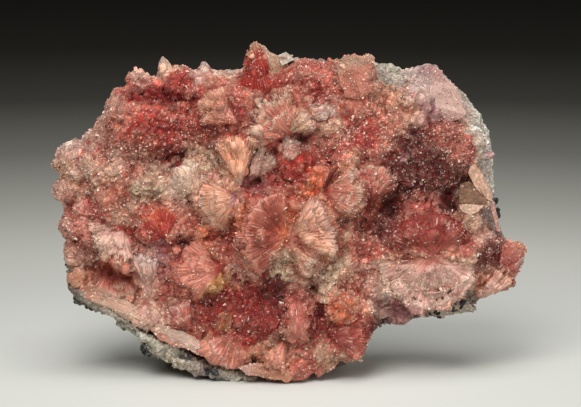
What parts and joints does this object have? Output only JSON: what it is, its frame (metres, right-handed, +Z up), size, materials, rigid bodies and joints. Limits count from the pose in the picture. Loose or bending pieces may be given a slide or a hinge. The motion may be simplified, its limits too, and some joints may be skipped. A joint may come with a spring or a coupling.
{
  "type": "inesite mineral specimen",
  "caption": "Cabinet mineral specimen: a crust of radiating inesite crystal balls, fans and points on pale vein rock, cut flat underneath to rest on.",
  "frame": {"origin": "centre of the overall bounding box in plan, at the flat base that the specimen rests on", "axes": "+X along the width, to the right when the crystals are seen from the front; -Y out of the crystal-covered front; +Z up"},
  "size_m": [0.111, 0.0438, 0.0791],
  "materials": {
    "inesite": "silky to vitreous crystal sprays",
    "vein_rock": "rough, matt, broken"
  },
  "bodies": {
    "root": {"inesite_crust": "inesite", "matrix_rock": "vein_rock"}
  },
  "joints": []
}
